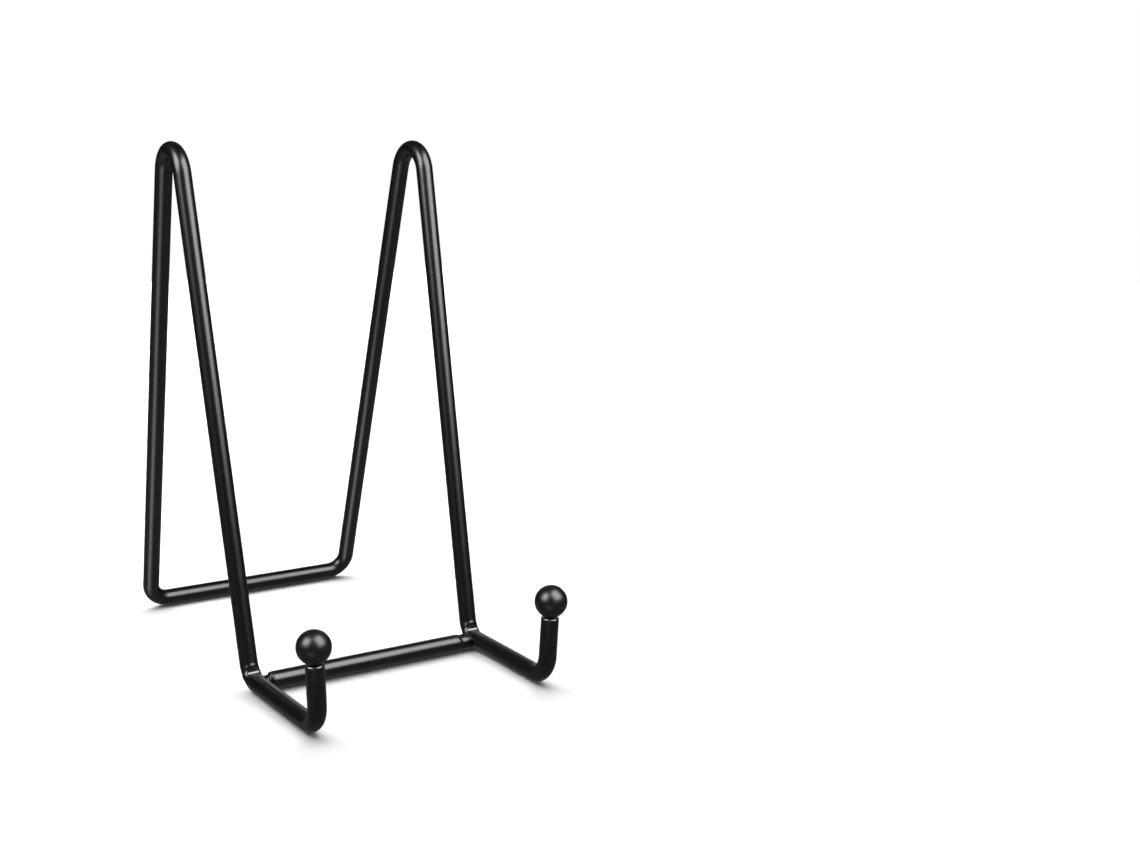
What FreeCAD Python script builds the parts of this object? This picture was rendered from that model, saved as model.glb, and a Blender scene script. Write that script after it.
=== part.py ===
import FreeCAD, Part
import math
import os
import Sketcher

from FreeCAD import Placement, Rotation, Vector

# Bent-wire easel for a photo album, a book or a picture frame.
# Millimetres. +Z is up and the open front faces -Y. "Left" is the -X side, seen from the front.
# The origin lies on the standing surface, at the middle of the width and of the depth.

doc = FreeCAD.newDocument("WireEasel")

# Name, value and meaning of each size that can be set by itself.
DRIVING_SIZES = [
    ("wire_diameter", 5.0, "round steel rod"),
    ("overall_height", 152.5, "standing surface to the top of the upper bends"),
    ("corner_spread", 71.0, "between the front leg corners, rod centre to rod centre"),
    ("hook_spread", 70.0, "between the hook corners, rod centre to rod centre"),
    ("apex_spread", 78.0, "between the points where the leg centrelines would meet"),
    ("rear_spread", 70.0, "between the rear corners, rod centre to rod centre"),
    ("foot_length", 45.5, "front leg corner forward to the hook corner"),
    ("apex_setback", 36.0, "front leg corner back to the apex"),
    ("base_depth", 90.0, "front leg corner back to the rear bar"),
    ("hook_bend_radius", 7.2, "centreline, where the foot turns up"),
    ("corner_bend_radius", 6.0, "centreline, where the front leg turns into the foot"),
    ("top_bend_radius", 8.3, "centreline, upper bend"),
    ("rear_bend_radius", 6.1, "centreline, where the rear leg turns into the rear bar"),
    ("rod_end_bevel", 0.35, "bevel round the rod's cut ends"),
    ("hook_splay", 1.0, "how far the ball stands outside its hook corner"),
    ("hook_lean", 1.0, "how far the ball stands ahead of its hook corner"),
    ("ball_diameter", 9.2, "steel ball"),
    ("ball_height", 25.4, "standing surface to the ball's centre"),
    ("ball_weld_gap", 0.2, "rod's flat end to the nearest point of the ball"),
    ("ball_weld_diameter", 3.2, "weld nugget under the ball"),
    ("crossbar_setforward", 4.15, "front leg corner forward to the crossbar's axis"),
    ("crossbar_weld_gap", 2.25, "crossbar's end to the rod's inner side"),
    ("crossbar_end_round", 0.9, "rounded shoulder at the crossbar's ends"),
    ("weld_neck_diameter", 3.8, "crossbar weld where it leaves the crossbar"),
    ("weld_foot_diameter", 4.6, "crossbar weld where it meets the rod"),
]

sheet = doc.addObject("Spreadsheet::Sheet", "Sizes")
for row, (name, value, meaning) in enumerate(DRIVING_SIZES, start=1):
    sheet.set(f"A{row}", name)
    sheet.set(f"B{row}", str(value))
    sheet.set(f"C{row}", meaning)
    sheet.setAlias(f"B{row}", name)
doc.recompute()


def size(name):
    return float(sheet.get(name))


# ---- Layout: where the rod's corners, ends and balls stand

SIDES = {"left": -1, "right": 1}

wire_radius = size("wire_diameter") / 2
ball_radius = size("ball_diameter") / 2
back_reach = size("base_depth") + wire_radius
front_reach = size("foot_length") + size("hook_lean") + ball_radius

corner_y = (front_reach - back_reach) / 2    # centres the depth on the origin
hook_y = corner_y - size("foot_length")
apex_y = corner_y + size("apex_setback")
rear_y = corner_y + size("base_depth")
crossbar_y = corner_y - size("crossbar_setforward")


def corner_point(side):
    return Vector(side * size("corner_spread") / 2, corner_y, wire_radius)


def hook_point(side):
    return Vector(side * size("hook_spread") / 2, hook_y, wire_radius)


def rear_point(side):
    return Vector(side * size("rear_spread") / 2, rear_y, wire_radius)


def apex_point(side, height):
    return Vector(side * size("apex_spread") / 2, apex_y, height)


def ball_centre(side):
    rise = size("ball_height") - wire_radius
    return hook_point(side) + Vector(side * size("hook_splay"), -size("hook_lean"), rise)


def upright_axis(side):
    return (ball_centre(side) - hook_point(side)).normalize()


def rod_end(side):
    """Centre of the rod's flat end under the ball."""
    return ball_centre(side) - upright_axis(side) * (ball_radius + size("ball_weld_gap"))


def bend_arc(before, corner, after, radius):
    """Start, middle and end of the arc that rounds a corner between two straight runs."""
    back = (before - corner).normalize()
    ahead = (after - corner).normalize()
    half_angle = back.getAngle(ahead) / 2
    setback = radius / math.tan(half_angle)
    inward = (back + ahead).normalize() * (radius / math.sin(half_angle) - radius)
    return corner + back * setback, corner + inward, corner + ahead * setback


def bent_height(apex_height):
    """Top of the rod over the upper bend, for legs whose centrelines meet at apex_height."""
    points = bend_arc(corner_point(1), apex_point(1, apex_height), rear_point(1),
                      size("top_bend_radius"))
    bend = Part.Circle(*points)
    return bend.Center.z + bend.Radius * math.sqrt(1 - bend.Axis.z ** 2) + wire_radius


# The bend cuts the corner, so the leg centrelines meet above the finished height.
apex_height = size("overall_height")
for _ in range(40):
    apex_height += size("overall_height") - bent_height(apex_height)

# ---- Frame rod: one rod from ball to ball, the same bends mirrored on the right

left_run = [
    (rod_end(-1), None),
    (hook_point(-1), "hook_bend_radius"),
    (corner_point(-1), "corner_bend_radius"),
    (apex_point(-1, apex_height), "top_bend_radius"),
    (rear_point(-1), "rear_bend_radius"),
]
right_run = [(Vector(-point.x, point.y, point.z), bend) for point, bend in reversed(left_run)]
stations = left_run + right_run

run_edges = []
run_start = stations[0][0]
for before, corner, after in zip(stations, stations[1:], stations[2:]):
    start, middle, end = bend_arc(before[0], corner[0], after[0], size(corner[1]))
    run_edges.append(Part.LineSegment(run_start, start).toShape())
    run_edges.append(Part.Arc(start, middle, end).toShape())
    run_start = end
run_edges.append(Part.LineSegment(run_start, stations[-1][0]).toShape())

centreline = doc.addObject("Part::Feature", "RodCentreline")
centreline.Shape = Part.Wire(run_edges)

section = doc.addObject("Part::Circle", "RodSection")
section.setExpression("Radius", "Sizes.wire_diameter / 2")
section.Placement = Placement(rod_end(-1), Rotation(Vector(0, 0, 1), -upright_axis(-1)))

bent_rod = doc.addObject("Part::Sweep", "BentRod")
bent_rod.Sections = [section]
bent_rod.Spine = (centreline, [f"Edge{number + 1}" for number in range(len(run_edges))])
bent_rod.Solid = True
doc.recompute()


def is_end_rim(edge):
    """True for the round edge of one of the rod's two flat ends."""
    if not isinstance(edge.Curve, Part.Circle):
        return False
    return any(edge.Curve.Center.isEqual(rod_end(side), 1e-4) for side in SIDES.values())


bevel = size("rod_end_bevel")
frame_rod = doc.addObject("Part::Chamfer", "FrameRod")
frame_rod.Label = "frame_rod"
frame_rod.Base = bent_rod
frame_rod.Edges = [(number, bevel, bevel)
                   for number, edge in enumerate(bent_rod.Shape.Edges, start=1)
                   if is_end_rim(edge)]

# ---- Front crossbar: straight rod between the feet, ahead of the front leg corners

crossbar = doc.addObject("PartDesign::Body", "FrontCrossbar")
crossbar.Label = "front_crossbar"
crossbar.Placement.Base = Vector(0, crossbar_y, wire_radius)

across = next(plane for plane in crossbar.Origin.OriginFeatures if plane.Role == "YZ_Plane")
outline = crossbar.newObject("Sketcher::SketchObject", "CrossbarOutline")
outline.AttachmentSupport = [(across, "")]
outline.MapMode = "FlatFace"
ring = outline.addGeometry(Part.Circle(Vector(), Vector(0, 0, 1), wire_radius))
outline.addConstraint(Sketcher.Constraint("Coincident", ring, 3, -1, 1))
diameter = outline.addConstraint(Sketcher.Constraint("Diameter", ring, 2 * wire_radius))
outline.renameConstraint(diameter, "rod_diameter")
outline.setExpression("Constraints.rod_diameter", "Sizes.wire_diameter")

straight = crossbar.newObject("PartDesign::Pad", "CrossbarLength")
straight.Profile = outline
straight.SideType = "Symmetric"
straight.setExpression(
    "Length", "Sizes.corner_spread - Sizes.wire_diameter - 2 * Sizes.crossbar_weld_gap")
doc.recompute()

shoulders = crossbar.newObject("PartDesign::Fillet", "CrossbarShoulders")
shoulders.Base = (straight, [f"Edge{number}"
                             for number, edge in enumerate(straight.Shape.Edges, start=1)
                             if isinstance(edge.Curve, Part.Circle)])
shoulders.setExpression("Radius", "Sizes.crossbar_end_round")
crossbar.Tip = shoulders

# ---- Crossbar welds: a neck of weld metal from the crossbar's end onto the rod's inner side


def add_crossbar_weld(word, side):
    neck = doc.addObject("Part::Cone", f"WeldNeck_{word}")
    neck.setExpression("Radius1", "Sizes.weld_neck_diameter / 2")
    neck.setExpression("Radius2", "Sizes.weld_foot_diameter / 2")
    neck.setExpression(
        "Height",
        "Sizes.crossbar_end_round + Sizes.crossbar_weld_gap + Sizes.wire_diameter / 2")
    reach = size("crossbar_end_round") + size("crossbar_weld_gap") + wire_radius
    inner_end = Vector(side * (size("corner_spread") / 2 - reach), crossbar_y, wire_radius)
    neck.Placement = Placement(inner_end, Rotation(Vector(0, 0, 1), Vector(side, 0, 0)))
    against_rod = doc.addObject("Part::Cut", f"WeldAgainstRod_{word}")
    against_rod.Base = neck
    against_rod.Tool = frame_rod
    weld = doc.addObject("Part::Cut", f"CrossbarWeld_{word}")
    weld.Label = f"crossbar_weld_{word}"
    weld.Base = against_rod
    weld.Tool = crossbar
    return weld


# ---- Balls, each joined to the rod's flat end by a weld nugget


def add_ball(word, side):
    ball = doc.addObject("Part::Sphere", f"Ball_{word}")
    ball.Label = f"ball_{word}"
    ball.setExpression("Radius", "Sizes.ball_diameter / 2")
    ball.Placement = Placement(ball_centre(side), Rotation(Vector(0, 0, 1), upright_axis(side)))
    return ball


def add_ball_weld(word, side, ball):
    nugget = doc.addObject("Part::Cylinder", f"Nugget_{word}")
    nugget.setExpression("Radius", "Sizes.ball_weld_diameter / 2")
    nugget.setExpression("Height", "Sizes.ball_weld_gap + Sizes.ball_diameter / 2")
    nugget.Placement = Placement(rod_end(side), Rotation(Vector(0, 0, 1), upright_axis(side)))
    weld = doc.addObject("Part::Cut", f"BallWeld_{word}")
    weld.Label = f"ball_weld_{word}"
    weld.Base = nugget
    weld.Tool = ball
    return weld


sub_parts = [frame_rod, crossbar]
for word, side in SIDES.items():
    ball = add_ball(word, side)
    sub_parts += [add_crossbar_weld(word, side), ball, add_ball_weld(word, side, ball)]
doc.recompute()

# ---- Check every object, then write each sub-part

for item in doc.Objects:
    if "Invalid" in item.State or "Error" in item.State:
        raise RuntimeError(f"{item.Name} did not recompute: {item.State}")
for item in sub_parts:
    if item.Shape.isNull() or not item.Shape.isValid() or len(item.Shape.Solids) != 1:
        raise RuntimeError(f"{item.Label} is not one valid solid")

os.makedirs("parts", exist_ok=True)
for item in sub_parts:
    item.Shape.exportStep(os.path.join("parts", f"{item.Label}.step"))
    print(f"{item.Label}: {item.Shape.Volume:.1f} mm3")
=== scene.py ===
import bmesh
import bpy
import math
from mathutils import Matrix, Vector, noise


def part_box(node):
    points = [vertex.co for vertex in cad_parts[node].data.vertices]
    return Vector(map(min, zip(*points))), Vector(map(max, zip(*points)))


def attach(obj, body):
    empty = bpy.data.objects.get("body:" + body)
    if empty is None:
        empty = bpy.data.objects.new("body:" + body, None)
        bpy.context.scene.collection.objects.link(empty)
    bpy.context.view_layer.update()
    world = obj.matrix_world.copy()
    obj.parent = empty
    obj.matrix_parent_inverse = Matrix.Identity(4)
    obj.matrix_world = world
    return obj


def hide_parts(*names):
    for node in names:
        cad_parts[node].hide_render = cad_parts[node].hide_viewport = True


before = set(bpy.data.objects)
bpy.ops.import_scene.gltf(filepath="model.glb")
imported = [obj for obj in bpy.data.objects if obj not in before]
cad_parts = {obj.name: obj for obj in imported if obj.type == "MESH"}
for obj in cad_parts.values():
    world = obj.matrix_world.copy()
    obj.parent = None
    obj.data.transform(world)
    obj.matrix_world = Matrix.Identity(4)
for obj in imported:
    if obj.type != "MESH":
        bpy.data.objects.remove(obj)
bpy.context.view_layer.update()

# A bent-rod album easel: one rod from ball to ball, a crossbar welded between the feet, two balls.
# Blender works in metres. The dictionaries hold millimetres, which mm() turns into metres.


def mm(value):
    return value / 1000


def linearColour(hexText):
    channels = [int(hexText[i:i + 2], 16) / 255 for i in (1, 3, 5)]
    return (*(c / 12.92 if c <= 0.04045 else ((c + 0.055) / 1.055) ** 2.4 for c in channels), 1)


def addNode(tree, kind, settings=None, sockets=None):
    # a socket value that is itself a socket becomes a link
    node = tree.nodes.new(kind)
    for name, value in (settings or {}).items():
        setattr(node, name, value)
    for name, value in (sockets or {}).items():
        if isinstance(value, bpy.types.NodeSocket):
            tree.links.new(value, node.inputs[name])
        else:
            node.inputs[name].default_value = value
    return node


def addChain(tree, known, rows):
    # each row: a name for the result, the node, its operation, then its inputs; an input given as
    # a name is an earlier result
    for name, kind, operation, *inputs in rows:
        node = addNode(tree, kind, {"operation": operation},
                       {i: known[x] if isinstance(x, str) else x for i, x in enumerate(inputs)})
        known[name] = node.outputs["Value" if operation in ("DOT_PRODUCT", "LENGTH") else 0]


sums, vectors = "ShaderNodeMath", "ShaderNodeVectorMath"


# where the CAD says things are
barLow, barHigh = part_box("front_crossbar")
rodLow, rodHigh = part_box("frame_rod")
coatThickness = 0.06            # baked powder film over the steel, mm
rodRadius = (barHigh.z - barLow.z) / 2
barCentre = (barLow + barHigh) / 2
barEnd = barHigh.x
ballBox = {side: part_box(name) for side, name in ((-1, "ball_left"), (1, "ball_right"))}
ballCentre = {side: (low + high) / 2 for side, (low, high) in ballBox.items()}
ballRadius = (ballBox[1][1].x - ballBox[1][0].x) / 2

bends = {
    "cornerSpread": 71.0,       # between the front corners, rod centre to rod centre
    "hookSpread": 70.0,         # between the hook corners
    "apexSpread": 78.0,         # between the points where the leg centrelines meet
    "rearSpread": 70.0,         # between the rear corners
    "barSetForward": 4.15,      # front corner forward to the crossbar
    "footLength": 45.5,         # front corner forward to the hook corner
    "apexSetBack": 36.0,        # front corner back to the apex
    "hookRadius": 7.2,          # bend radii, on the centreline
    "cornerRadius": 6.0,
    "topRadius": 8.3,
    "rearRadius": 6.1,
    "foldReach": 10.0,          # how far from the front corner the creasing can be felt
    "ballGap": 0.02,            # rod's flat end to the ball
    "endBevel": 0.28,           # chamfer round the cut ends, along the rod
    "endInset": 0.2,            # and across it
    "rimFade": 2.2,             # chamfer lengths over which the stretched film, and its painted highlight, ends
}

cornerY = barCentre.y + mm(bends["barSetForward"])
hookY = cornerY - mm(bends["footLength"])
apexY = cornerY + mm(bends["apexSetBack"])
rearY = rodHigh.y - rodRadius
groundZ = rodLow.z


def cornerPoint(side):
    return Vector((side * mm(bends["cornerSpread"]) / 2, cornerY, groundZ + rodRadius))


def hookPoint(side):
    return Vector((side * mm(bends["hookSpread"]) / 2, hookY, groundZ + rodRadius))


def rearPoint(side):
    return Vector((side * mm(bends["rearSpread"]) / 2, rearY, groundZ + rodRadius))


def apexPoint(side, height):
    return Vector((side * mm(bends["apexSpread"]) / 2, apexY, height))


def bentTop(height):
    # top of the rod over the upper bend, for legs whose centrelines meet at this height
    apex = apexPoint(1, height)
    back = (cornerPoint(1) - apex).normalized()
    ahead = (rearPoint(1) - apex).normalized()
    halfAngle = back.angle(ahead) / 2
    radius = mm(bends["topRadius"])
    centre = apex + (back + ahead).normalized() * (radius / math.sin(halfAngle))
    axis = back.cross(ahead).normalized()
    return centre.z + radius * math.sqrt(1 - axis.z ** 2) + rodRadius


apexHeight = rodHigh.z
apexTries = 40                  # each one closes most of what is left
for _ in range(apexTries):
    apexHeight += rodHigh.z - bentTop(apexHeight)


def uprightAxis(side):
    return (ballCentre[side] - hookPoint(side)).normalized()


print("layout: rod radius %.2f mm, apex at %.1f mm" % (rodRadius * 1000, apexHeight * 1000))


powderFilm = {
    "deep": "#09090a",          # film where it lies thick
    "thin": "#0d0d0e",          # film where it is drawn thin
    "filmDrift": 14.0,          # how far apart thick and thin places lie
    "driftDetail": 3.0,
    "driftLow": 0.35,           # noise level that is all thick film
    "driftHigh": 0.65,          # and all thin film
    "roughnessLow": 0.27,
    "roughnessHigh": 0.33,
    "peelWave": 1.1,            # orange peel, crest to crest
    "peelDetail": 1.0,
    "peelHeight": 0.004,
    "grainWave": 0.35,          # undissolved powder grain, drawn coarser than its 0.08 to show
    "grainDetail": 2.0,
    "grainLow": 0.3,            # noise level that is smoothest
    "grainHigh": 0.7,           # and roughest
    "grainHeight": 0.0012,
    "refraction": 1.5,          # polyester
    "sheen": 0.5,
}
stretchedFilmAndGlint = {
    "rimGreyAndGlint": "#1c1c1d",     # film pulled back from a sharp rim, lighter there; also a painted highlight brightening the glints
    "rimSheen": 1.0,            # and stretched glossier there
}
weldFilm = {                    # uneven over the bead, so glossier in places
    "roughnessLow": 0.24,
    "roughnessHigh": 0.34,
    "peelWave": 0.8,
}
ballFilm = {                    # a slightly duller skin
    "roughnessLow": 0.32,
    "roughnessHigh": 0.38,
    "filmDrift": 6.0,
}


def powderCoat(name, film):
    # Black polyester powder, sprayed on steel and baked: a satin skin with a faint orange peel
    # that softens the edges of every highlight, slightly thinner and greyer on sharp rims; the
    # greyer colour there is painted highlight, brightening the glints on rims and on the former's
    # facet.
    material = bpy.data.materials.new(name)
    material.use_nodes = True
    tree = material.node_tree
    tree.nodes.clear()
    place = addNode(tree, "ShaderNodeTexCoord").outputs["Object"]
    drift = addNode(tree, "ShaderNodeTexNoise", None,
                    {"Vector": place, "Scale": 1 / mm(film["filmDrift"]),
                     "Detail": film["driftDetail"]})
    grain = addNode(tree, "ShaderNodeTexNoise", None,
                    {"Vector": place, "Scale": 1 / mm(film["grainWave"]),
                     "Detail": film["grainDetail"]})
    peel = addNode(tree, "ShaderNodeTexNoise", None,
                   {"Vector": place, "Scale": 1 / mm(film["peelWave"]),
                    "Detail": film["peelDetail"]})
    cover = addNode(tree, "ShaderNodeMapRange", None,
                    {"Value": drift.outputs["Fac"], "From Min": film["driftLow"],
                     "From Max": film["driftHigh"]})
    body = addNode(tree, "ShaderNodeMix", {"data_type": "RGBA"},
                   {"Factor": cover.outputs[0], 6: linearColour(film["deep"]),
                    7: linearColour(film["thin"])})
    colour, gloss = body.outputs[2], film["sheen"]
    # rim mask: a lighter colour, which is painted highlight on the glints, and a higher gloss
    if "rimGreyAndGlint" in film:
        rim = addNode(tree, "ShaderNodeAttribute", {"attribute_name": "rim"})
        colour = addNode(tree, "ShaderNodeMix", {"data_type": "RGBA"},
                         {"Factor": rim.outputs["Fac"], 6: colour,
                          7: linearColour(film["rimGreyAndGlint"])}).outputs[2]
        gloss = addNode(tree, "ShaderNodeMapRange", None,
                        {"Value": rim.outputs["Fac"], "To Min": gloss,
                         "To Max": film["rimSheen"]}).outputs[0]
    rough = addNode(tree, "ShaderNodeMapRange", None,
                    {"Value": grain.outputs["Fac"], "From Min": film["grainLow"],
                     "From Max": film["grainHigh"], "To Min": film["roughnessLow"],
                     "To Max": film["roughnessHigh"]})
    peelBump = addNode(tree, "ShaderNodeBump", None,
                       {"Strength": 1.0, "Distance": mm(film["peelHeight"]),
                        "Height": peel.outputs["Fac"]})
    grainBump = addNode(tree, "ShaderNodeBump", None,
                        {"Strength": 1.0, "Distance": mm(film["grainHeight"]),
                         "Height": grain.outputs["Fac"], "Normal": peelBump.outputs[0]})
    coat = addNode(tree, "ShaderNodeBsdfPrincipled", None,
                   {"Base Color": colour, "Roughness": rough.outputs[0],
                    "IOR": film["refraction"], "Specular IOR Level": gloss,
                    "Normal": grainBump.outputs[0]})
    addNode(tree, "ShaderNodeOutputMaterial", None, {"Surface": coat.outputs[0]})
    return material


rodCoat = powderCoat("powderCoatedRod", {**powderFilm, **stretchedFilmAndGlint})
weldCoat = powderCoat("powderCoatedWeld", {**powderFilm, **weldFilm})
ballCoat = powderCoat("powderCoatedBall", {**powderFilm, **ballFilm})
print("finishes: powder coat for rod, welds and balls")


def linkObject(name, mesh):
    piece = bpy.data.objects.new(name, mesh)
    bpy.context.scene.collection.objects.link(piece)
    return piece


rodLook = {                     # what the bent rod's node tree takes as its inputs, in metres
    "Steps around": 48,
    "Longest step": mm(1.0),
    "Fold sharpness": 8.0,      # how fast the creasing fades away from the corner
    "Inner pinch": mm(0.4),     # inside of the bend drawn towards the corner
    "Outer pinch": mm(0.7),     # outside of it flattened
    "Side bulge": mm(0.22),
    "Pinch reach": mm(2.2),
    "Outer reach": mm(5.5),
    "Bulge height": mm(0.25),   # metal squeezed up above the former's mark
    "Bulge place": mm(1.5),
    "Bulge width": mm(0.5),
    "Mark level": mm(3.4),      # how far the former's edge stops from the corner of the centreline
    "Mark place": mm(-0.1),
    "Mark width": mm(0.5),
    "Mark slope": 0.335,
    "Mark reach": mm(6.0),      # no mark further from the corner than this
    "Mark shine": mm(0.1),      # pressed this deep, the film is fully stretched and the facet fully lightened, as painted highlight
    "Wall slope": 1.0,
    "Toe slope": 0.85,
    "Coat waves": 1 / mm(9.0),
    "Coat drift": mm(0.03),     # the baked coat is thicker in some places than in others
    "Coat seed": 3.0,
}
stationKinds = {                # what each point of a rod's path tells the tree
    "bendRadius": "FLOAT", "bendSteps": "INT", "ringScale": "FLOAT", "rim": "FLOAT",
    "folded": "FLOAT", "corner": "FLOAT_VECTOR", "outward": "FLOAT_VECTOR",
    "along": "FLOAT_VECTOR",
}


def bentRodTree():
    # rounds a path's corners, sweeps the rod along it and presses its tight bends over a former
    tree = bpy.data.node_groups.new("bentRod", "GeometryNodeTree")
    face = tree.interface
    face.new_socket("Geometry", in_out="INPUT", socket_type="NodeSocketGeometry")
    for name, value in {**rodLook, "Rod radius": 0.0}.items():
        face.new_socket(name, in_out="INPUT", socket_type="NodeSocketInt" if isinstance(value, int)
                        else "NodeSocketFloat")
    face.new_socket("Finish", in_out="INPUT", socket_type="NodeSocketMaterial")
    face.new_socket("Geometry", in_out="OUTPUT", socket_type="NodeSocketGeometry")
    known = {socket.name: socket for socket in addNode(tree, "NodeGroupInput").outputs}
    for name, kind in (*stationKinds.items(), ("ringCentre", "FLOAT_VECTOR")):
        known[name] = addNode(tree, "GeometryNodeInputNamedAttribute", {"data_type": kind},
                              {"Name": name}).outputs[0]
    known["place"] = addNode(tree, "GeometryNodeInputPosition").outputs[0]

    path = addNode(tree, "GeometryNodeMeshToCurve", None, {"Mesh": known["Geometry"]}).outputs[0]
    path = addNode(tree, "GeometryNodeFilletCurve", {"mode": "POLY"},
                   {"Curve": path, "Count": known["bendSteps"],
                    "Radius": known["bendRadius"]}).outputs[0]
    after = addNode(tree, "GeometryNodeOffsetPointInCurve", None, {"Offset": 1}).outputs[1]
    known["after"] = addNode(tree, "GeometryNodeFieldAtIndex",
                             {"data_type": "FLOAT_VECTOR", "domain": "POINT"},
                             {"Index": after, "Value": known["place"]}).outputs[0]
    addChain(tree, known, (
        ("stretch", vectors, "SUBTRACT", "after", "place"),
        ("stretchLength", vectors, "LENGTH", "stretch"),
        ("steps", sums, "DIVIDE", "stretchLength", "Longest step"),
        ("cuts", sums, "FLOOR", "steps")))
    path = addNode(tree, "GeometryNodeSubdivideCurve", None,
                   {"Curve": path, "Cuts": known["cuts"]}).outputs[0]
    path = addNode(tree, "GeometryNodeStoreNamedAttribute",
                   {"data_type": "FLOAT_VECTOR", "domain": "POINT"},
                   {"Geometry": path, "Name": "ringCentre", "Value": known["place"]}).outputs[0]
    section = addNode(tree, "GeometryNodeCurvePrimitiveCircle", None,
                      {"Resolution": known["Steps around"],
                       "Radius": known["Rod radius"]}).outputs[0]
    rod = addNode(tree, "GeometryNodeCurveToMesh", None,
                  {"Curve": path, "Profile Curve": section, "Scale": known["ringScale"],
                   "Fill Caps": True}).outputs[0]

    addChain(tree, known, (
        ("sideways", vectors, "CROSS_PRODUCT", "outward", "along"),
        ("fromCentre", vectors, "SUBTRACT", "place", "ringCentre"),
        ("away", vectors, "NORMALIZE", "fromCentre"),
        ("fromCorner", vectors, "SUBTRACT", "place", "corner"),
        ("run", vectors, "DOT_PRODUCT", "fromCorner", "along"),
        ("distance", sums, "ABSOLUTE", "run"),
        ("bent", sums, "POWER", "folded", "Fold sharpness"),
        ("facing", vectors, "DOT_PRODUCT", "away", "outward"),
        ("turnedIn", sums, "MULTIPLY", "facing", -1.0),
        ("inner", sums, "MAXIMUM", "turnedIn", 0.0),
        ("outer", sums, "MAXIMUM", "facing", 0.0)))
    for name, reach in (("near", "Pinch reach"), ("far", "Outer reach")):
        addChain(tree, known, (         # one at the corner, falling to zero at the reach
            ("share", sums, "DIVIDE", "distance", reach),
            ("rest", sums, "SUBTRACT", 1.0, "share"),
            ("fade", sums, "MAXIMUM", "rest", 0.0),
            (name, sums, "MULTIPLY", "fade", "bent")))
    for name, word in (("bulgeRidge", "Bulge"), ("markRidge", "Mark")):
        addChain(tree, known, (         # one over a rounded ridge across the bend
            ("past", sums, "SUBTRACT", "run", word + " place"),
            ("share", sums, "DIVIDE", "past", word + " width"),
            ("square", sums, "MULTIPLY", "share", "share"),
            ("fall", sums, "MULTIPLY", "square", -1.0),
            ("bell", sums, "EXPONENT", "fall"),
            (name, sums, "MULTIPLY", "bell", "bent")))
    addChain(tree, known, (
        # inside drawn sharper, outside flatter, squeezed metal bulging on the leg side
        ("pinch", sums, "MULTIPLY", "near", "Inner pinch"),
        ("innerMove", sums, "MULTIPLY", "pinch", "inner"),
        ("farSquared", sums, "POWER", "far", 2.0),
        ("flattened", sums, "MULTIPLY", "farSquared", "Outer pinch"),
        ("outerMove", sums, "MULTIPLY", "flattened", "outer"),
        ("bulge", sums, "MULTIPLY", "inner", "Bulge height"),
        ("swell", sums, "MULTIPLY", "bulgeRidge", "bulge"),
        ("pinched", sums, "SUBTRACT", "innerMove", "outerMove"),
        ("inward", sums, "SUBTRACT", "pinched", "swell"),
        # the former's straight edge prints a flat facet, with a wall above and a toe below
        ("halfMark", sums, "MULTIPLY", "Mark width", 0.5),
        ("facetTop", sums, "ADD", "Mark place", "halfMark"),
        ("facetToe", sums, "SUBTRACT", "Mark place", "halfMark"),
        ("rise", sums, "MULTIPLY", "halfMark", "Mark slope"),
        ("topLevel", sums, "ADD", "Mark level", "rise"),
        ("toeLevel", sums, "SUBTRACT", "Mark level", "rise"),
        ("toeFall", sums, "MULTIPLY", "Toe slope", -1.0),
        ("pastPlace", sums, "SUBTRACT", "run", "Mark place"),
        ("pastTop", sums, "SUBTRACT", "run", "facetTop"),
        ("pastToe", sums, "SUBTRACT", "run", "facetToe"),
        ("facetCut", sums, "MULTIPLY_ADD", "pastPlace", "Mark slope", "Mark level"),
        ("wallCut", sums, "MULTIPLY_ADD", "pastTop", "Wall slope", "topLevel"),
        ("toeCut", sums, "MULTIPLY_ADD", "pastToe", "toeFall", "toeLevel"),
        ("upperCut", sums, "MAXIMUM", "facetCut", "wallCut"),
        ("cut", sums, "MAXIMUM", "upperCut", "toeCut"),
        ("height", vectors, "DOT_PRODUCT", "fromCorner", "outward"),
        ("depth", sums, "MULTIPLY", "height", -1.0),
        ("movedDepth", sums, "SUBTRACT", "depth", "inward"),
        ("excess", sums, "SUBTRACT", "movedDepth", "cut"),
        ("overCut", sums, "MAXIMUM", "excess", 0.0),
        ("beside", sums, "LESS_THAN", "distance", "Mark reach"),
        ("allowed", sums, "MULTIPLY", "bent", "beside"),
        ("pressed", sums, "MULTIPLY", "overCut", "allowed"),
        ("fold", sums, "ADD", "inward", "pressed"),
        ("foldMove", vectors, "MULTIPLY", "outward", "fold"),
        # the pressed facet joins the rim mask, whose lighter colour is painted highlight on the
        # former's bright line
        ("pressShare", sums, "DIVIDE", "pressed", "Mark shine"),
        ("pressFull", sums, "MINIMUM", "pressShare", 1.0),
        ("onFacet", sums, "MULTIPLY", "pressFull", "markRidge"),
        ("rims", sums, "MAXIMUM", "rim", "onFacet"),
        ("nearSquared", sums, "POWER", "near", 2.0),
        ("sideShare", sums, "MULTIPLY", "nearSquared", "Side bulge"),
        ("toSide", vectors, "DOT_PRODUCT", "away", "sideways"),
        ("sideBulge", sums, "MULTIPLY", "sideShare", "toSide"),
        ("sideMove", vectors, "MULTIPLY", "sideways", "sideBulge")))
    known["coat"] = addNode(tree, "ShaderNodeTexNoise", {"noise_dimensions": "4D"},
                            {"Vector": known["place"], "W": known["Coat seed"],
                             "Scale": known["Coat waves"], "Detail": 1.0}).outputs[0]
    addChain(tree, known, (
        ("coatChange", sums, "SUBTRACT", "coat", 0.5),
        ("coatAmount", sums, "MULTIPLY", "coatChange", "Coat drift"),
        ("coatMove", vectors, "MULTIPLY", "away", "coatAmount"),
        ("bendMove", vectors, "ADD", "foldMove", "sideMove"),
        ("move", vectors, "ADD", "bendMove", "coatMove")))
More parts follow.
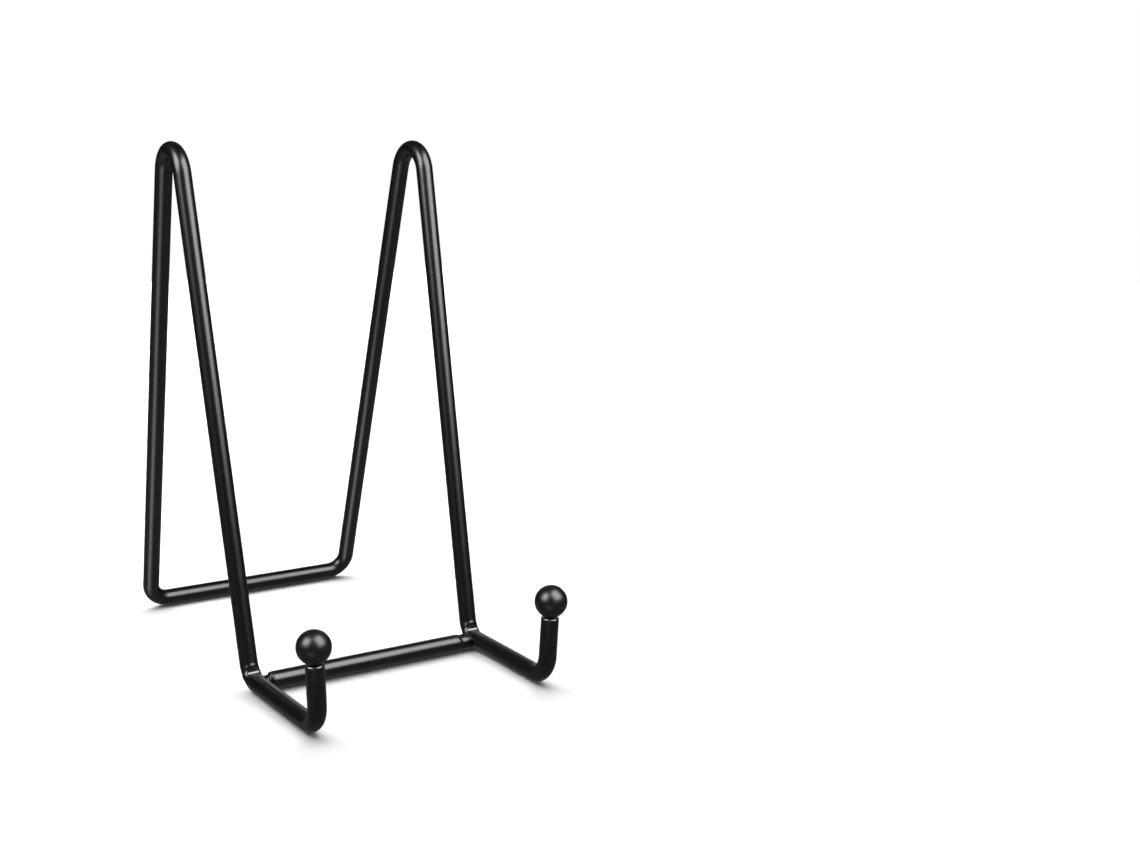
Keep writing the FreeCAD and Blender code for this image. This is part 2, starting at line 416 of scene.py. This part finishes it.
    rod = addNode(tree, "GeometryNodeStoreNamedAttribute",
                  {"data_type": "FLOAT", "domain": "POINT"},
                  {"Geometry": rod, "Name": "rim", "Value": known["rims"]}).outputs[0]
    rod = addNode(tree, "GeometryNodeSetPosition", None,
                  {"Geometry": rod, "Offset": known["move"]}).outputs[0]
    rod = addNode(tree, "GeometryNodeSetShadeSmooth", {"domain": "FACE"},
                  {"Geometry": rod}).outputs[0]
    rod = addNode(tree, "GeometryNodeRealizeInstances", None, {"Geometry": rod}).outputs[0]
    rod = addNode(tree, "GeometryNodeSetMaterial", None,
                  {"Geometry": rod, "Material": known["Finish"]}).outputs[0]
    addNode(tree, "NodeGroupOutput", None, {"Geometry": rod})
    return tree


rodTree = bentRodTree()


def station(place, size=0.0, steps=1, scale=1.0, rim=0.0, fold=None):
    # fold, where the bend is creased: corner point, outward direction, direction towards the leg
    corner, outward, along = fold or (place, Vector((0, 0, 1)), Vector((1, 0, 0)))
    return {"place": place, "bendRadius": mm(size), "bendSteps": steps, "ringScale": scale,
            "rim": rim, "folded": 1.0 if fold else 0.0,
            "corner": corner, "outward": outward, "along": along}


def sweptRod(name, stations, values):
    path = bpy.data.meshes.new(name + "Path")
    path.from_pydata([s["place"] for s in stations],
                     [(i, i + 1) for i in range(len(stations) - 1)], [])
    for label, kind in stationKinds.items():
        layer = path.attributes.new(label, kind, "POINT")
        for item, stop in zip(layer.data, stations):
            setattr(item, "vector" if kind == "FLOAT_VECTOR" else "value", stop[label])
    carrier = linkObject(name + "Path", path)
    modifier = carrier.modifiers.new("bentRod", "NODES")
    modifier.node_group = rodTree
    ids = {i.name: i.identifier for i in rodTree.interface.items_tree
           if i.in_out == "INPUT" and i.socket_type != "NodeSocketGeometry"}
    for label, value in values.items():
        modifier[ids[label]] = value
    graph = bpy.context.evaluated_depsgraph_get()
    mesh = bpy.data.meshes.new_from_object(carrier.evaluated_get(graph))
    carrier.modifiers.remove(modifier)
    bpy.data.objects.remove(carrier)
    mesh.name = name
    return linkObject(name, mesh)


bendDetail = {"hook": 26, "corner": 90, "top": 40, "rear": 26}    # rings in each bend
endProfile = (                  # chamfer at a cut end: share of its length, share of its depth
    (0.0, 1.12), (0.06, 0.97), (0.2, 0.8), (0.5, 0.5), (0.8, 0.2), (0.94, 0.05), (1.15, 0.0))


def rodEndStations(side):
    # chamfered end under the ball, from the flat face inwards
    axis = uprightAxis(side)
    face = ballCentre[side] - axis * (ballRadius + mm(bends["ballGap"]))
    # rim 1 on the chamfer: the lighter colour there is painted highlight on the glints under the
    # ball
    stations = [station(face - axis * mm(bends["endBevel"]) * along,
                        scale=1 - mm(bends["endInset"]) * across / rodRadius, rim=1.0)
                for along, across in endProfile]
    return stations + [station(face - axis * mm(bends["endBevel"]) * bends["rimFade"])]


def cornerStations(side):
    corner = cornerPoint(side)
    up = (apexPoint(side, apexHeight) - corner).normalized()
    ahead = (hookPoint(side) - corner).normalized()
    fold = (corner, -(up + ahead).normalized(), (up - ahead).normalized())
    return [station(corner + ahead * mm(bends["foldReach"]), fold=fold),
            station(corner, bends["cornerRadius"], bendDetail["corner"], fold=fold),
            station(corner + up * mm(bends["foldReach"]), fold=fold)]


def halfRod(side):
    return rodEndStations(side) + [
        station(hookPoint(side), bends["hookRadius"], bendDetail["hook"]),
        *cornerStations(side),
        station(apexPoint(side, apexHeight), bends["topRadius"], bendDetail["top"]),
        station(rearPoint(side), bends["rearRadius"], bendDetail["rear"]),
    ]


frameRod = sweptRod("frameRod", halfRod(-1) + halfRod(1)[::-1],
                    {**rodLook, "Rod radius": rodRadius + mm(coatThickness), "Finish": rodCoat})
print("frame rod: %d faces" % len(frameRod.data.polygons))

crossbarLook = {
    "endRound": {-1: 0.2, 1: 2.3},      # shoulders ground by hand, left end and right end
    "endRim": {-1: 0.3, 1: 0.0},        # how far the film is stretched on each, with a lighter colour that is painted highlight on that end's glint
    "rimLength": 0.9,                   # and how far in from the shoulder that fades
    "roundSteps": 10,
    "coatSeed": 8.0,
}


def crossbarStations(side):
    steps = crossbarLook["roundSteps"]
    soft = mm(crossbarLook["endRound"][side])
    stations = []
    for i in range(steps + 1):
        turn = math.pi / 2 * i / steps
        x = barEnd - soft * (1 - math.cos(turn))
        inset = soft * (1 - math.sin(turn))
        stations.append(station(Vector((side * x, barCentre.y, barCentre.z)),
                                scale=1 - inset / rodRadius, rim=crossbarLook["endRim"][side]))
    x = barEnd - soft - mm(crossbarLook["rimLength"])
    return stations + [station(Vector((side * x, barCentre.y, barCentre.z)))]


frontCrossbar = sweptRod("frontCrossbar", crossbarStations(-1) + crossbarStations(1)[::-1],
                         {**rodLook, "Coat seed": crossbarLook["coatSeed"],
                          "Rod radius": rodRadius + mm(coatThickness), "Finish": rodCoat})
print("crossbar: %d faces" % len(frontCrossbar.data.polygons))


def closedLoft(name, rings, material):
    # rings of equally many points, closed at both ends with a point
    mesh = bpy.data.meshes.new(name)
    build = bmesh.new()
    rows = [[build.verts.new(p) for p in ring] for ring in rings]
    for row, after in zip(rows, rows[1:]):
        for i in range(len(row)):
            j = (i + 1) % len(row)
            build.faces.new((row[i], row[j], after[j], after[i]))
    for row in (rows[0], rows[-1]):
        middle = build.verts.new(sum((v.co for v in row), Vector()) / len(row))
        for i in range(len(row)):
            build.faces.new((row[i], row[(i + 1) % len(row)], middle))
    bmesh.ops.recalc_face_normals(build, faces=build.faces)
    build.to_mesh(mesh)
    build.free()
    for polygon in mesh.polygons:
        polygon.use_smooth = True
    mesh.materials.append(material)
    return linkObject(name, mesh)


ballLook = {
    "stepsAround": 96,
    "stepsDown": 64,
    "rootRadius": 2.0,          # where the ball's coat rolls into the weld
    "rootShare": 0.6,           # of which the ball itself is left open inside the weld
    "outOfRound": 0.015,
    "outWaves": 1.7,
    "seed": 3,
}
ballWeldLook = {
    "waist": 1.35,
    "footRadius": 1.5,
    "sink": 0.25,               # how far it reaches into ball and rod
    "lump": 0.03,
    "lumpWaves": 2.2,           # round the weld
    "lumpRun": 2,               # and along it
    "seed": 5,
    "stepsAround": 72,
    "steps": 14,
}


def axisFrame(axis):
    across = axis.cross(Vector((0, 1, 0))).normalized()
    return across, axis.cross(across)


def ballTip(side, name):
    axis = uprightAxis(side)
    across, deep = axisFrame(axis)
    centre = ballCentre[side]
    count = ballLook["stepsAround"]
    openRadius = mm(ballLook["rootRadius"]) * ballLook["rootShare"]
    lastTurn = math.pi - math.asin(openRadius / ballRadius)
    rings = []
    for i in range(1, ballLook["stepsDown"] + 1):
        turn = lastTurn * i / ballLook["stepsDown"]
        ring = []
        for j in range(count):
            spin = 2 * math.pi * j / count
            out = across * math.cos(spin) + deep * math.sin(spin)
            out = out * math.sin(turn) + axis * math.cos(turn)
            swell = mm(ballLook["outOfRound"]) * noise.noise(
                out * ballLook["outWaves"] + Vector((side * ballLook["seed"], 0, 0)))
            ring.append(centre + out * (ballRadius + mm(coatThickness) + swell))
        rings.append(ring)
    return closedLoft(name, rings, ballCoat)


def ballWeld(side, name):
    look = ballWeldLook
    axis = uprightAxis(side)
    across, deep = axisFrame(axis)
    count, steps = look["stepsAround"], look["steps"]
    sink = mm(look["sink"])
    top = -ballRadius * math.cos(math.asin(mm(look["waist"]) / ballRadius)) + sink
    bottom = -(ballRadius + mm(bends["ballGap"])) - sink
    rings = []
    for i in range(steps + 1):
        t = i / steps
        height = top + (bottom - top) * t
        radius = mm(look["waist"]) + mm(look["footRadius"] - look["waist"]) * t ** 2
        ring = []
        for j in range(count):
            spin = 2 * math.pi * j / count
            out = across * math.cos(spin) + deep * math.sin(spin)
            lump = mm(look["lump"]) * noise.noise(
                out * look["lumpWaves"] + Vector((side * look["seed"], t * look["lumpRun"], 1)))
            ring.append(ballCentre[side] + axis * height + out * (radius + lump))
        rings.append(ring)
    return closedLoft(name, rings, weldCoat)


crossbarWeldLook = {
    "profile": {                # place and radius: below 0 inside the crossbar, above 1 in the rod
        -1: ((-0.3, 2.3), (-0.05, 2.53), (0.12, 2.63), (0.4, 1.95), (0.7, 1.8), (1.3, 2.3)),
        1: ((-0.62, 1.7), (-0.3, 2.3), (0.1, 2.42), (0.5, 2.3), (0.85, 2.0), (1.3, 1.8))},
    "hiddenLength": 2.2,        # what 1 along the profile is, inside the crossbar
    "belly": 2.55,              # least radius underneath, where the melt sagged
    "bellySpread": 0.7,
    "squash": 0.93,             # lower than wide, clear of the floor
    "lump": 0.1,
    "lumpWaves": 1.1,           # round the bead
    "lumpRun": 1.2,             # and along it
    "seed": 4,
    "stepsAround": 96,
    "steps": 56,
}


def eased(share):
    # from 0 to 1 with a level start and end
    return share * share * (3 - 2 * share)


def crossbarWeld(side, name):
    look = crossbarWeldLook
    profile = look["profile"][side]
    rodAxisX = mm(bends["cornerSpread"]) / 2
    count, steps = look["stepsAround"], look["steps"]
    first, last = profile[0][0], profile[-1][0]
    rings = []
    for i in range(steps + 1):
        t = first + (last - first) * i / steps
        k = max(n for n in range(len(profile) - 1) if profile[n][0] <= t)
        (startsAt, startRadius), (endsAt, endRadius) = profile[k:k + 2]
        share = eased((t - startsAt) / (endsAt - startsAt))
        radius = startRadius + (endRadius - startRadius) * share
        ring = []
        for j in range(count):
            spin = 2 * math.pi * j / count
            y, z = math.cos(spin), math.sin(spin)
            bump = look["lump"] * noise.noise(Vector((
                side * look["seed"] + t * look["lumpRun"], y * look["lumpWaves"],
                z * look["lumpWaves"])))
            under = eased(min(max(-z / look["bellySpread"], 0), 1))
            reach = mm(radius + bump + max(look["belly"] - radius, 0) * under)
            z *= reach * look["squash"]
            onRod = rodAxisX - math.sqrt(rodRadius ** 2 - z ** 2)
            x = barEnd + (onRod - barEnd) * max(t, 0) + mm(look["hiddenLength"]) * min(t, 0)
            ring.append(Vector((side * x, barCentre.y + y * reach, barCentre.z + z)))
        rings.append(ring)
    return closedLoft(name, rings, weldCoat)


sideNames = {-1: "Left", 1: "Right"}
for side, word in sideNames.items():
    cadWord = word.lower()
    tip = ballTip(side, "ballTip" + word)
    joint = ballWeld(side, "ballWeld" + word)
    bead = crossbarWeld(side, "crossbarWeld" + word)
    for piece, node, slotName in ((tip, "ball_" + cadWord, "powder_coated_ball"),
                                  (joint, "ball_weld_" + cadWord, "powder_coated_weld"),
                                  (bead, "crossbar_weld_" + cadWord, "powder_coated_weld")):
        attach(piece, "root")
        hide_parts(node)
print("balls and weld beads: two of each")

for piece, node in ((frameRod, "frame_rod"), (frontCrossbar, "front_crossbar")):
    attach(piece, "root")
    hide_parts(node)


studio = {
    "floorSize": 2400.0,
    "floorWhite": 0.95,
    "domeRadius": 3500.0,
    "domeSegments": 48,
    "domeDusk": -0.5,           # height, of a radius of 1, where the dome is wholly at "below"
    "backdrop": 1.0,
    "aim": (0.0, 0.0, 50.0),
    "wattsPerRadiance": 4,      # for each square metre of a soft box
}
softBoxes = {                   # seen only in the coat's gloss
    "softBoxLeft": {"azimuth": -83, "elevation": 40.5, "distance": 780,
                    "width": 500, "height": 560, "radiance": 9.4},
    "softBoxRight": {"azimuth": 28.8, "elevation": 43.6, "distance": 460,
                     "width": 400, "height": 480, "radiance": 7.8},
}
topLight = {                    # lights floor and body colour: a big soft light, high behind
    "below": 0.05, "above": 0.05,
    "glows": ({"azimuth": 168, "elevation": 44, "spread": 26, "strength": 4.6},
              {"azimuth": 122, "elevation": 42, "spread": 24, "strength": 3.8},
              {"azimuth": 214, "elevation": 42, "spread": 24, "strength": 3.8}),
}
roomGloss = {                   # what the coat reflects besides the boxes
    "below": 0.22, "above": 0.02,
    "glows": ({"azimuth": -55, "elevation": -40, "spread": 16, "strength": 4.2},
              {"azimuth": 152, "elevation": 10, "spread": 12, "strength": 1.05}),
}
flag = {                        # dark card lying before the hooks, so uprights and balls mirror it
    "xLow": -100.0, "xHigh": 70.0, "yLow": -95.0, "yHigh": -46.0, "lift": 0.2, "glow": 0.16,
}
lens = {
    "place": (-186.69, -418.65, 154.74),
    "aim": (58.20, -42.89, 68.97),
    "focalLength": 48.615,
    "sensorWidth": 36.0,
    "nearest": 10.0,
    "furthest": 20000.0,
}


def plainMaterial(name):
    material = bpy.data.materials.new(name)
    material.use_nodes = True
    material.node_tree.nodes.clear()
    return material


def aimAt(azimuth, elevation):
    # azimuth 0 is straight in front, + to the viewer's right
    turn, rise = math.radians(azimuth), math.radians(elevation)
    level = math.cos(rise)
    return Vector((math.sin(turn) * level, -math.cos(turn) * level, math.sin(rise)))


def glowDome(name, look):
    # a sphere round the set that glows, with soft brighter regions
    mesh = bpy.data.meshes.new(name)
    build = bmesh.new()
    bmesh.ops.create_uvsphere(build, u_segments=studio["domeSegments"],
                              v_segments=studio["domeSegments"] // 2,
                              radius=mm(studio["domeRadius"]))
    build.to_mesh(mesh)
    build.free()
    material = plainMaterial(name)
    tree = material.node_tree
    known = {"place": addNode(tree, "ShaderNodeTexCoord").outputs["Object"]}
    addChain(tree, known, (("facing", vectors, "NORMALIZE", "place"),))
    height = addNode(tree, "ShaderNodeSeparateXYZ", None, {0: known["facing"]}).outputs[2]
    known["strength"] = addNode(tree, "ShaderNodeMapRange", None,
                                {"Value": height, "From Min": studio["domeDusk"], "From Max": 0.0,
                                 "To Min": look["below"], "To Max": look["above"]}).outputs[0]
    for glow in look["glows"]:
        middle = aimAt(glow["azimuth"], glow["elevation"])
        addChain(tree, known, (
            ("agreement", vectors, "DOT_PRODUCT", "facing", middle),
            ("angle", sums, "ARCCOSINE", "agreement"),
            ("share", sums, "DIVIDE", "angle", math.radians(glow["spread"])),
            ("square", sums, "POWER", "share", 2.0),
            ("fall", sums, "MULTIPLY", "square", -1.0),
            ("fade", sums, "EXPONENT", "fall"),
            ("strength", sums, "MULTIPLY_ADD", "fade", glow["strength"], "strength")))
    shine = addNode(tree, "ShaderNodeEmission", None, {"Strength": known["strength"]}).outputs[0]
    addNode(tree, "ShaderNodeOutputMaterial", None, {"Surface": shine})
    material.cycles.emission_sampling = "NONE"
    mesh.materials.append(material)
    dome = linkObject(name, mesh)
    dome.visible_camera = dome.visible_shadow = dome.visible_transmission = False
    return dome


def flatSheet(name, left, right, front, back, height, material):
    mesh = bpy.data.meshes.new(name)
    mesh.from_pydata([(left, front, height), (right, front, height), (right, back, height),
                      (left, back, height)], [], [(0, 1, 2, 3)])
    mesh.materials.append(material)
    return linkObject(name, mesh)


paper = plainMaterial("mattWhitePaper")
white = studio["floorWhite"]
matt = addNode(paper.node_tree, "ShaderNodeBsdfDiffuse", None, {"Color": (white, white, white, 1)})
addNode(paper.node_tree, "ShaderNodeOutputMaterial", None, {"Surface": matt.outputs[0]})
half = mm(studio["floorSize"]) / 2
floor = flatSheet("floor", -half, half, -half, half, groundZ - mm(coatThickness), paper)
floor.visible_glossy = False

overhead = glowDome("topLightDome", topLight)
overhead.visible_glossy = False
room = glowDome("roomDome", roomGloss)
room.visible_diffuse = False

flock = plainMaterial("blackFlock")
sheen = addNode(flock.node_tree, "ShaderNodeEmission", None, {"Strength": flag["glow"]})
addNode(flock.node_tree, "ShaderNodeOutputMaterial", None, {"Surface": sheen.outputs[0]})
flock.cycles.emission_sampling = "NONE"
flagCard = flatSheet("flag", mm(flag["xLow"]), mm(flag["xHigh"]), mm(flag["yLow"]),
                     mm(flag["yHigh"]), mm(flag["lift"]), flock)
flagCard.visible_camera = flagCard.visible_diffuse = flagCard.visible_shadow = False

world = bpy.data.worlds.new("studio")
bpy.context.scene.world = world
world.use_nodes = True
backdrop = world.node_tree.nodes["Background"]
backdrop.inputs["Color"].default_value = (1, 1, 1, 1)
backdrop.inputs["Strength"].default_value = studio["backdrop"]
world.cycles_visibility.glossy = False
world.cycles_visibility.diffuse = False

target = Vector(map(mm, studio["aim"]))
for name, box in softBoxes.items():
    away = aimAt(box["azimuth"], box["elevation"])
    light = bpy.data.lights.new(name, "AREA")
    light.shape = "RECTANGLE"
    light.size, light.size_y = mm(box["width"]), mm(box["height"])
    light.energy = box["radiance"] * studio["wattsPerRadiance"] * light.size * light.size_y
    lamp = linkObject(name, light)
    lamp.matrix_world = Matrix.Translation(target + away * mm(box["distance"])) \
        @ (-away).to_track_quat("-Z", "Y").to_matrix().to_4x4()
    lamp.visible_diffuse = False

camera = bpy.data.cameras.new("camera")
camera.lens, camera.sensor_width = lens["focalLength"], lens["sensorWidth"]
camera.clip_start, camera.clip_end = mm(lens["nearest"]), mm(lens["furthest"])
viewer = linkObject("camera", camera)
place = Vector(map(mm, lens["place"]))
viewer.matrix_world = Matrix.Translation(place) \
    @ (Vector(map(mm, lens["aim"])) - place).to_track_quat("-Z", "Y").to_matrix().to_4x4()
bpy.context.scene.camera = viewer
bpy.context.scene.view_settings.view_transform = "Standard"
print("floor, two soft boxes and camera")
